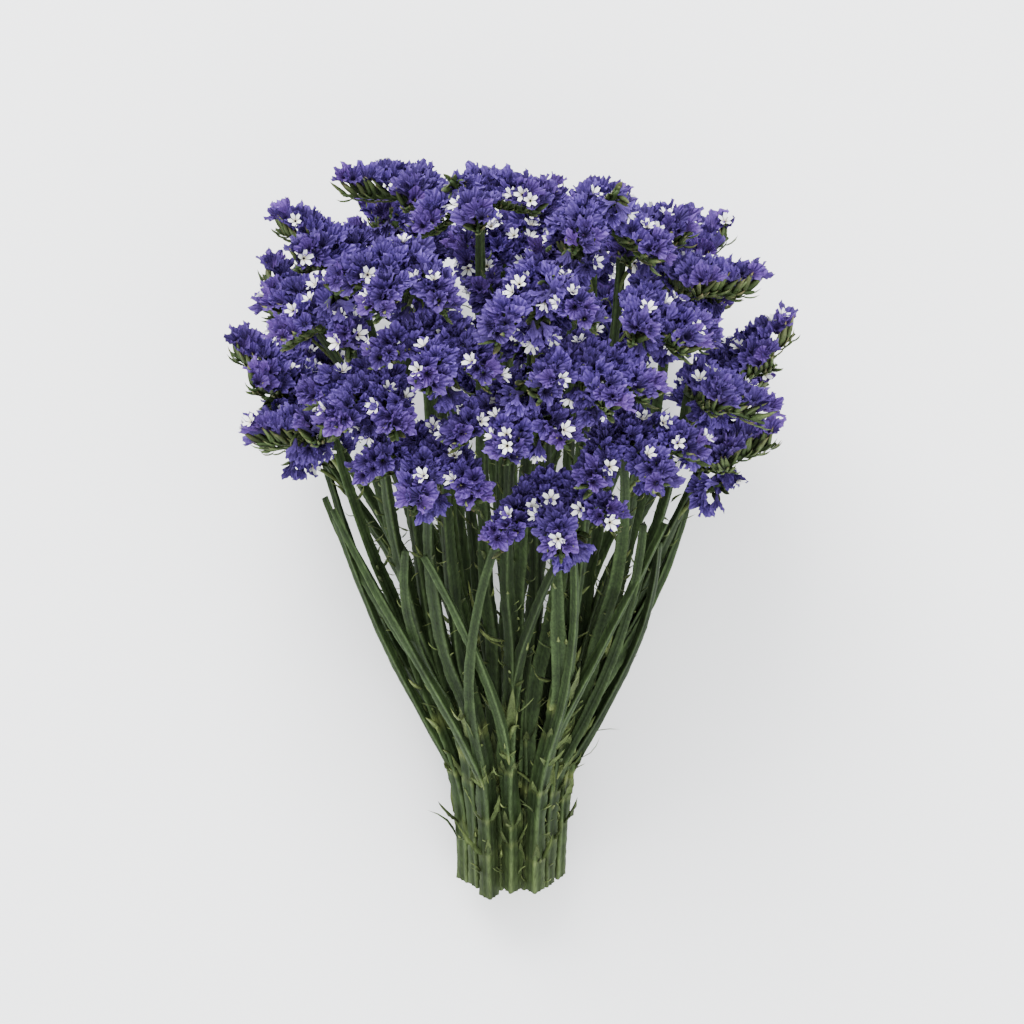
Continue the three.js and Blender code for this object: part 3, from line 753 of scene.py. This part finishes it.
# A pointed boat-shaped blade from a root to a tip, with a keel on its under side
def addBlade(piece, root, tip, under, width, thickness, paint, bend, fat, sections=3):
    axis = tip - root
    length = np.linalg.norm(axis)
    across = unit(np.cross(axis, under))
    points, tones = [root], [(paint[0], paint[1], paint[2])]
    for i in range(1, sections + 1):
        share = i / (sections + 1)
        wide = width / 2 * math.sin(math.pi * share ** fat) ** blade["round"]
        centre = root + axis * share + under * bend * length * math.sin(math.pi * share)
        points += [centre + across * wide, centre + under * thickness, centre - across * wide,
                   centre - under * thickness * blade["hollow"]]
        tones += [(min(1, paint[0] + blade["tipTone"] * share), paint[1] * share, paint[2])] * 4
    points.append(tip)
    tones.append((1.0, paint[1], paint[2]))
    faces = [(0, 1 + (j + 1) % 4, 1 + j) for j in range(4)]
    for i in range(sections - 1):
        for j in range(4):
            a, b = 1 + 4 * i + j, 1 + 4 * i + (j + 1) % 4
            faces.append((a, b, b + 4, a + 4))
    end = len(points) - 1
    faces += [(end, end - 4 + j, end - 4 + (j + 1) % 4) for j in range(4)]
    addPart(piece, points, faces, tones)


# A round tube through some centres, closed at both ends
def addTube(piece, centres, radii, sides, paint):
    rows = []
    for i, centre in enumerate(centres):
        before, after = centres[max(0, i - 1)], centres[min(len(centres) - 1, i + 1)]
        axis = unit(after - before)
        x, y = frameOf(axis, vec(0.3, 0.2, 1) if abs(axis[2]) < 0.9 else vec(1, 0.1, 0))
        turns = np.arange(sides) * 2 * math.pi / sides
        rows.append(centre + radii[i] * (np.outer(np.cos(turns), x) + np.outer(np.sin(turns), y)))
    faces = gridFaces(len(rows), sides)
    faces.append(tuple(reversed(range(sides))))
    faces.append(tuple(range((len(rows) - 1) * sides, len(rows) * sides)))
    addPart(piece, np.concatenate(rows), faces, paint)


# The green axis of a spike, scales along its under side, and sheaths that stand up between its calyces
def addBracts(piece, spray, spike, draw):
    size = spike["size"]
    reach = spike.get("reach", bract["last"])
    keel = [spikePoint(spray, spike, along * size, 0, bract["rachisHeight"])
            for along in np.linspace(0, reach - bract["rachisBefore"], bract["rings"])]
    radii = np.linspace(bract["rachis"], bract["rachisEnd"], bract["rings"])
    addTube(piece, keel, radii, bract["sides"], bract["rachisPaint"])
    under = unit(-spray["face"])
    for side in (-1, 0, 1):
        for along in np.arange(bract["first"] + bract["firstStep"] * (side + 1), reach, bract["step"]):
            own = draw.random()
            red = bract["red"] * max(0, draw.random() - bract["redAbove"])
            late = smooth((along - bract["lateFrom"]) / bract["lateOver"])
            stray = draw.uniform(-1, 1, 6)
            at = along + bract["alongStray"] * stray[4]
            width = bract["width"] * (1 + bract["widthStray"] * stray[3])
            rootHeight = bract["rootHeight"] - (0 if side else bract["keelDrop"])
            rootAlong = (at - bract["rootBack"]) * size
            root = spikePoint(spray, spike, rootAlong, bract["rootAcross"] * side, rootHeight)
            ahead = bract["tipAhead"] + (0 if side else bract["keelAhead"]) + bract["aheadStray"] * stray[0]
            across = side * bract["across"] * (1 - bract["lateNarrow"] * late)
            across += bract["acrossStray"] * stray[1]
            height = bract["sideHeight"] if side else bract["keelHeight"]
            height += bract["heightStray"] * stray[2]
            tip = spikePoint(spray, spike, (at + ahead) * size, across, height)
            if draw.random() < bract["kept"]:
                addBlade(piece, root, tip, under, width, bract["thickness"], (bract["tone"], red, own),
                         bract["bend"], bract["fat"])
            if side:
                ahead = sheath["ahead"] + sheath["alongStray"] * stray[2]
                across = side * sheath["across"] + sheath["acrossStray"] * stray[1]
                height = sheath["height"] + sheath["heightStray"] * stray[0]
                tall = spikePoint(spray, spike, (at + ahead) * size, across, height)
                addBlade(piece, root, tall, unit(side * spray["across"]), width, sheath["thickness"],
                         (sheath["tone"], sheath["red"] * red, own), sheath["bend"], bract["fat"])


for head in heads:
    draw = np.random.default_rng(2000 + head["number"])
    piece = newPiece()
    for spray in spraysOf(head):
        for spike in spray["spikes"]:
            addBracts(piece, spray, spike, draw)
    finishPiece(f"bracts_{head['number'] + 1:02d}", piece, bractGreen, "bract")

print("stems, branches and leaves")

wings = {
    "step": 2.4, "turns": [-60, -45, -28, -8, 0, 8, 28, 45],  # degrees from the edge of a wing
    "radii": [0.2, 0.0, 0.1, 0.85, 1.0, 0.85, 0.1, 0.0],  # from valley to edge
    "ruffle": 0.06, "longWave": 11.3, "shortWave": 4.3, "shortShare": 0.7, "teeth": 0.12, "toothStep": 7.3,
    "sway": 4, "swayWave": 9,
    # tone and toneRange paint the valleys between the wings darker than the wing edges, which is painted
    # shade in the creases.
    "tone": 0.25, "toneRange": 0.6,
}


# A ring of points round a stem: three thin wings with valleys between them
def wingRing(centre, tangent, wing, valley, turn, up, own):
    across = unit(vec(1, 0, 0) - tangent * tangent[0])
    inward = np.cross(tangent, across)
    points, paint = [], []
    for edge in range(3):
        wave = math.sin(up / wings["longWave"] + 2.1 * edge + 40 * own)
        wave += wings["shortShare"] * math.sin(up / wings["shortWave"] + 5 * edge + 17 * own)
        wave += wings["teeth"] / wings["ruffle"] * (chance(up * wings["toothStep"] + edge, 51) - 0.5)
        sway = wings["sway"] * degree * math.sin(up / wings["swayWave"] + 2 * edge + 23 * own)
        for angle, share in zip(wings["turns"], wings["radii"]):
            radius = valley + (wing * (1 + wings["ruffle"] * wave * share) - valley) * share
            a = turn + edge * 120 * degree + angle * degree + sway * share
            points.append(centre + across * radius * math.cos(a) + inward * radius * math.sin(a))
            # The paint of each point is its share from the valley to the wing edge, by which the valleys are
            # painted darker: painted shade in the creases between the wings.
            paint.append(share)
    return points, paint


knot = {
    "from": 10, "range": 30, "count": 3, "tone": 0.4, "toneOver": 2.5, "turn": 0.35, "turnRange": 0.9,
    "length": 8, "lengthRange": 13, "width": 2.2, "widthRise": 0.15, "stand": 3.4,
    "steep": 1.6, "steepRange": 0.9,
}


# Heights of the pale knots on the lower part of a main stem
def knotsOf(stem):
    return [knot["from"] + knot["range"] * (chance(stem["number"], 61 + i) + i) for i in range(knot["count"])]


stalk = {
    "backRow": 0.6,  # stems at or behind this share of the reach are cut level, the others unevenly
    "spin": 40 * degree, "spinFrom": 40, "spinOver": 60, "footTurn": 30 * degree, "footStray": 9 * degree,
    "openOver": 25, "thinOver": 40, "footWing": 0.86, "footWingRange": 0.1, "footValley": 0.48, "valley": 0.5,
    "forkTone": 0.8, "forkToneOver": 5, "footTone": 0.14, "footToneOver": 60, "edgeShare": 0.6,
    "cutPaint": 0.9, "cutShrink": 0.001,
}


# A main stem with its cut end, or a branch from its fork, as a three-winged tube up to the head
def addBranch(piece, branch):
    stem, head, forkUp = branch["stem"], branch["head"], branch["forkUp"]
    endUp = head["foot"][2]
    own = chance(head["number"], 31)
    if branch["main"]:
        cutLevel = stem["label"][1] >= stalk["backRow"]
        startUp = 0 if cutLevel else bunch["cutSpread"] * chance(stem["number"], 21)
        spin = stalk["spin"] * either(stem["number"], 22)
        knots = knotsOf(stem)
    else:
        startUp = forkUp
        spin = bunch["phaseRange"] * chance(head["number"], 23)
        knots = []
    count = max(3, int((endUp - startUp) / wings["step"]))
    rows, paint = [], []
    for up in np.linspace(startUp, endUp, count):
        far = smooth((up - forkUp) / (endUp - forkUp))
        if branch["main"]:
            openness = smooth((up - bunch["pressedTo"]) / stalk["openOver"])
            thin = smooth((up - forkUp) / stalk["thinOver"])
            wing = mix(mix(bunch["wingReach"], bunch["branchWing"], thin), bunch["endWing"], far)
            tight = (bunch["stemPitch"] - bunch["stemGap"]) / math.sqrt(3) * reachAt(up) / reachAt(0)
            valley = mix(tight * stalk["footValley"], wing * bunch["valleyShare"], openness)
            wing = mix(tight * (stalk["footWing"] + stalk["footWingRange"] * own), wing, openness)
            turn = stalk["footTurn"] + stalk["footStray"] * either(stem["number"], 26)
            turn += spin * smooth((up - stalk["spinFrom"]) / stalk["spinOver"])
            tangent = vec(0, 0, 1) if up <= bunch["pressedTo"] else tangentAt(branch, up)
        else:
            wing = mix(bunch["branchWing"], bunch["endWing"], far)
            valley = wing * stalk["valley"]
            turn = spin
            tangent = tangentAt(branch, up)
        ring, tones = wingRing(pathPoint(branch, up), tangent, wing, valley, turn, up, own)
        rows.append(ring)
        pale = [stalk["forkTone"] * max(0, 1 - abs(up - forkUp) / stalk["forkToneOver"])]
        pale += [knot["tone"] * (1 - abs(up - place) / knot["toneOver"]) for place in knots]
        pale = max(pale + [stalk["footTone"] * (1 - smooth(up / stalk["footToneOver"]))])
        # The valleys between the wings get the darkest tone and the wing edges the lightest: painted shade in
        # the creases.
        paint += [(wings["tone"] + wings["toneRange"] * tone,
                   pale * (1 - stalk["edgeShare"] + stalk["edgeShare"] * tone), own) for tone in tones]
    sides = len(rows[0])
    faces = gridFaces(len(rows), sides)
    faces.append(tuple(range((len(rows) - 1) * sides, len(rows) * sides)))
    if not branch["main"]:
        faces.append(tuple(reversed(range(sides))))
    addPart(piece, np.concatenate(rows), faces, paint)
    if branch["main"]:
        middle = np.mean(rows[0], axis=0) * stalk["cutShrink"]
        cutEnd = [point * (1 - stalk["cutShrink"]) + middle for point in rows[0]]
        addPart(piece, cutEnd, [tuple(reversed(range(sides)))], (stalk["cutPaint"], stalk["cutPaint"], own))


leaf = {
    "rowStep": 2.5, "fewest": 5, "start": 0.06, "fat": 0.7, "round": 0.8, "wave": 0.25, "waves": 17,
    "bend": 0.22, "thickness": 0.45, "tone": 0.3, "toneRange": 0.45, "pale": 0.1, "paleRange": 0.15,
    # side of the midrib and lift of the points round a section, as shares of half the width
    "section": ((1, 0.5), (0.5, 0.1), (0, -0.5), (-0.5, 0.1),
                (-1, 0.5), (-0.5, -0.4), (0, -1.1), (0.5, -0.4)),
}


# A narrow leaf with a folded midrib and a gently waved edge, which bends back up at its tip
def addLeaf(piece, root, axis, outward, length, width, own):
    across = unit(np.cross(axis, outward))
    under = unit(np.cross(across, axis))
    rows = max(leaf["fewest"], int(length / leaf["rowStep"]))
    points, paint = [], []
    for share in np.linspace(0, 1, rows + 1):
        filled = min(1, leaf["start"] + (1 - leaf["start"]) * share) ** leaf["fat"]
        half = width / 2 * math.sin(math.pi * filled) ** leaf["round"]
        wave = leaf["wave"] * math.sin(share * leaf["waves"] + own * 20) * half
        centre = root + axis * length * share - under * leaf["bend"] * length * share * share
        for side, lift in leaf["section"]:
            raised = lift * half * leaf["thickness"] + wave * abs(side)
            points.append(centre + across * side * half + under * raised)
            paint.append((leaf["tone"] + leaf["toneRange"] * (1 - abs(side)),
                          leaf["pale"] + leaf["paleRange"] * share, own))
    addPart(piece, points, gridFaces(rows + 1, len(leaf["section"])), paint)


leaflet = {"below": 2, "turn": 40 * degree, "turnRange": 20 * degree, "outward": 0.5, "stand": 1.2}


# A pair of leaflets at a fork
def addForkLeaves(piece, branch):
    head, forkUp = branch["head"], branch["forkUp"]
    root = pathPoint(branch, forkUp - leaflet["below"])
    outer = math.atan2(root[1], root[0])
    for side in (-1, 1):
        turn = outer + side * (leaflet["turn"] + leaflet["turnRange"] * chance(head["number"], 24))
        outward = vec(math.cos(turn), math.sin(turn), 0)
        axis = unit(tangentAt(branch, forkUp) + outward * leaflet["outward"])
        addLeaf(piece, root + outward * leaflet["stand"], axis, outward, bunch["leafletLength"],
                bunch["leafletWidth"], chance(head["number"], 33))


# The long narrow leaf of an outer stem
def addLongLeaf(piece, branch):
    stem = branch["stem"]
    up = bunch["leafFrom"] + bunch["leafRange"] * chance(stem["number"], 25)
    outward = vec(stem["label"][0], stem["label"][1], 0) / np.linalg.norm(stem["label"])
    axis = unit(tangentAt(branch, up) + outward * bunch["leafSlope"])
    addLeaf(piece, pathPoint(branch, up) + outward * leaflet["stand"], axis, outward, bunch["leafLength"],
            bunch["leafWidth"], chance(stem["number"], 34))


# A small leaf or two at each knot, on the side that faces out of the bunch
def addKnotLeaves(piece, branch):
    stem = branch["stem"]
    outer = math.atan2(stem["label"][1], stem["label"][0])
    for i, up in enumerate(knotsOf(stem)):
        tangent = tangentAt(branch, up)
        for side in (-1, 1):
            use = 66 + 4 * i + side
            turn = outer + side * (knot["turn"] + knot["turnRange"] * chance(stem["number"], use))
            outward = vec(math.cos(turn), math.sin(turn), 0)
            length = knot["length"] + knot["lengthRange"] * chance(stem["number"], use + 14) ** 2
            steep = knot["steep"] - knot["steepRange"] * chance(stem["number"], use + 28)
            addLeaf(piece, pathPoint(branch, up) + outward * knot["stand"], unit(tangent * steep + outward),
                    outward, length, knot["width"] + knot["widthRise"] * length, chance(stem["number"], use))


scale = {
    "mainFrom": 8, "overFork": 12, "underHead": 25, "start": 10, "step": 9, "stepStray": 6,
    "pairShare": 0.35, "pairTurn": (1.6, 3.1), "level": 0.2, "standOff": 3.0, "lowStand": 1.4, "lowTo": 40,
    "steep": (0.6, 1.6), "length": 8, "lengths": (0.5, 1.4), "width": 2.3, "widths": (0.7, 1.2),
    "longShare": 0.3, "longFrom": 20, "longTo": 150, "longer": 1.3, "wider": 0.5,
    "thickness": 0.35, "bends": (-0.2, 0.25), "fat": 0.5, "tone": 0.5, "pale": 0.25, "paleRange": 0.7,
}


# Small pointed scale leaves that hook out of the wings, alone or in pairs
def addScales(piece, branch):
    head = branch["head"]
    draw = np.random.default_rng(3000 + head["number"])
    low = scale["mainFrom"] if branch["main"] else branch["forkUp"] + scale["overFork"]
    low += scale["start"] * draw.random()
    for up in np.arange(low, head["foot"][2] - scale["underHead"], scale["step"]):
        at = up + draw.uniform(-scale["stepStray"], scale["stepStray"])
        tangent = tangentAt(branch, at)
        turn = draw.uniform(0, 2 * math.pi)
        for side in range(1 + (draw.random() < scale["pairShare"])):
            angle = turn + side * draw.uniform(*scale["pairTurn"])
            outward = unit(vec(math.cos(angle), math.sin(angle), 0) - tangent * (tangent[2] * scale["level"]))
            stand = scale["standOff"] * (1 if at > scale["lowTo"] else scale["lowStand"])
            root = pathPoint(branch, at) + outward * stand
            axis = unit(tangent * draw.uniform(*scale["steep"]) + outward)
            long = (draw.random() < scale["longShare"]) * (scale["longFrom"] < at < scale["longTo"])
            length = scale["length"] * draw.uniform(*scale["lengths"]) * (1 + scale["longer"] * long)
            width = scale["width"] * draw.uniform(*scale["widths"]) * (1 + scale["wider"] * long)
            paint = (scale["tone"], scale["pale"] + scale["paleRange"] * draw.random(), draw.random())
            addBlade(piece, root, root + axis * length, unit(np.cross(axis, np.cross(outward, axis))),
                     width, scale["thickness"], paint, draw.uniform(*scale["bends"]), scale["fat"])


def addTwig(piece, twig):
    shares = np.linspace(0, 1, twigs["rings"])
    centres = [twig["start"] + twig["tangent"] * twig["length"] * t + twig["bow"] * t * t for t in shares]
    radii = twigs["radius"] * (twigs["rootRadius"] - twigs["taper"] * shares)
    addTube(piece, centres, radii, twigs["sides"], (*twigs["paint"], chance(twig["length"], 45)))


def addCrossing(piece, twig):
    points, own = twig["points"], chance(twig["key"], 49)
    rows, paint = [], []
    for i, point in enumerate(points):
        tangent = unit(points[min(i + 1, len(points) - 1)] - points[max(i - 1, 0)])
        wing = crossing["wing"] * (1 - crossing["thin"] * i / len(points))
        turn = crossing["wingSpin"] * own + i * crossing["ringSpin"]
        valley = wing * crossing["valley"]
        ring, tones = wingRing(point, tangent, wing, valley, turn, i * crossing["wingStep"], own)
        rows.append(ring)
        pale = max(0, 1 - i / crossing["paleRings"]) * crossing["pale"]
        # The valleys between the wings get the darkest tone and the wing edges the lightest: painted shade in
        # the creases.
        paint += [(wings["tone"] + wings["toneRange"] * tone, pale, own) for tone in tones]
    sides = len(rows[0])
    faces = gridFaces(len(rows), sides)
    faces.append(tuple(range((len(rows) - 1) * sides, len(rows) * sides)))
    addPart(piece, np.concatenate(rows), faces, paint)
    root = points[1]
    outward = unit(vec(root[0], root[1], 0))
    axis = unit(points[3] - points[1])
    aside = unit(np.cross(axis, outward))
    for side in (-1, 1):
        slope = crossing["leafSlope"] + crossing["leafSlopeRange"] * chance(twig["key"], 50 + side)
        length = crossing["leafLength"] + crossing["leafLengthRange"] * chance(twig["key"], 53 + side)
        along = unit(axis + outward * crossing["leafOut"] + aside * slope * side)
        addLeaf(piece, root + outward * crossing["leafStand"], along, outward, length,
                crossing["leafWidth"] + crossing["leafWidthRise"] * length, own)


longLeafFront = 0.2  # stems behind this share of the reach carry no long leaf

for stem in stems:
    piece = newPiece()
    for twig in [t for t in crossings if t["branch"]["stem"] is stem]:
        addCrossing(piece, twig)
    for branch in [b for b in branches if b["stem"] is stem]:
        addBranch(piece, branch)
        addScales(piece, branch)
        if branch["main"]:
            addKnotLeaves(piece, branch)
            if isOuter(stem) and stem["label"][1] < longLeafFront:
                addLongLeaf(piece, branch)
        else:
            addForkLeaves(piece, branch)
        for twig in [t for t in sideTwigs if t["branch"] is branch]:
            addTwig(piece, twig)
    name = f"{stem['number'] + 1:02d}"
    finishPiece(f"stem_piece_{name}", piece, stemGreen, "stem", f"stem_{name}")

print("floor, lights and camera")

studio = {
    "floorSize": 8, "floorColor": (0.95, 0.95, 0.95), "floorRoughness": 0.9,
    "worldColor": (0.95, 0.97, 1), "worldStrength": 2.4, "lampAim": (0, 0.02, 0.1),
    "key": {"place": (-0.5, 1.3, 1.7), "size": 1.2, "power": 80},
    "fill": {"place": (0.6, -0.9, 1.8), "size": 1.8, "power": 30},
    "distance": 1.6, "elevation": 84 * degree, "sensor": 36,
    "image": 1024, "objectTop": 157, "objectBottom": 900,  # rows of the image between which the bunch stands
}


def makeFloor():
    half = studio["floorSize"] / 2
    mesh = bpy.data.meshes.new("floor")
    corners = [(-half, -half, 0), (half, -half, 0), (half, half, 0), (-half, half, 0)]
    mesh.from_pydata(corners, [], [(0, 1, 2, 3)])
    floor = bpy.data.objects.new("floor", mesh)
    bpy.context.scene.collection.objects.link(floor)
    material = bpy.data.materials.new("pale floor")
    material.use_nodes = True
    shader = material.node_tree.nodes["Principled BSDF"]
    shader.inputs["Base Color"].default_value = (*studio["floorColor"], 1)
    shader.inputs["Roughness"].default_value = studio["floorRoughness"]
    mesh.materials.append(material)


def makeLamp(name):
    settings = studio[name]
    lamp = bpy.data.lights.new(name, "AREA")
    lamp.size = settings["size"]
    lamp.energy = settings["power"]
    made = bpy.data.objects.new(name, lamp)
    made.location = settings["place"]
    aim = Vector(studio["lampAim"]) - Vector(settings["place"])
    made.rotation_euler = aim.to_track_quat("-Z", "Y").to_euler()
    bpy.context.scene.collection.objects.link(made)


def makeWorld():
    world = bpy.data.worlds.new("studio")
    world.use_nodes = True
    back = world.node_tree.nodes["Background"]
    back.inputs["Color"].default_value = (*studio["worldColor"], 1)
    back.inputs["Strength"].default_value = studio["worldStrength"]
    bpy.context.scene.world = world


# The camera looks down on the lying bunch, with its lens and shift fitted to the given rows
def makeCamera():
    low, high = np.array(cadBox[0]), np.array(cadBox[1])
    middle = (low + high) / 2
    toward = vec(0, -math.cos(studio["elevation"]), math.sin(studio["elevation"]))
    eye = middle + toward * studio["distance"]
    camera = bpy.data.cameras.new("camera")
    made = bpy.data.objects.new("camera", camera)
    made.location = eye
    made.rotation_euler = Vector(-toward).to_track_quat("-Z", "Y").to_euler()
    bpy.context.scene.collection.objects.link(made)
    upward = vec(0, math.sin(studio["elevation"]), math.cos(studio["elevation"]))
    seen = []
    for shown in bpy.data.objects:
        if shown.type == "MESH" and shown.get("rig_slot"):
            flat = np.empty(len(shown.data.vertices) * 3)
            shown.data.vertices.foreach_get("co", flat)
            gap = flat.reshape(-1, 3) - eye
            depth = -gap @ toward
            seen.append(np.stack([gap[:, 0] / depth, (gap @ upward) / depth], -1))
    seen = np.concatenate(seen)
    (left, bottom), (right, top) = seen.min(0), seen.max(0)
    zoom = (studio["objectBottom"] - studio["objectTop"]) / studio["image"] / (top - bottom)
    camera.sensor_width = studio["sensor"]
    camera.lens = zoom * studio["sensor"]
    camera.shift_y = bottom * zoom + studio["objectBottom"] / studio["image"] - 0.5
    camera.shift_x = (left + right) / 2 * zoom
    bpy.context.scene.camera = made


makeFloor()
makeLamp("key")
makeLamp("fill")
makeWorld()
makeCamera()

total = sum(len(p.vertices) - 2 for o in bpy.data.objects if o.get("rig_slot") for p in o.data.polygons)
print(f"{total} triangles in all")
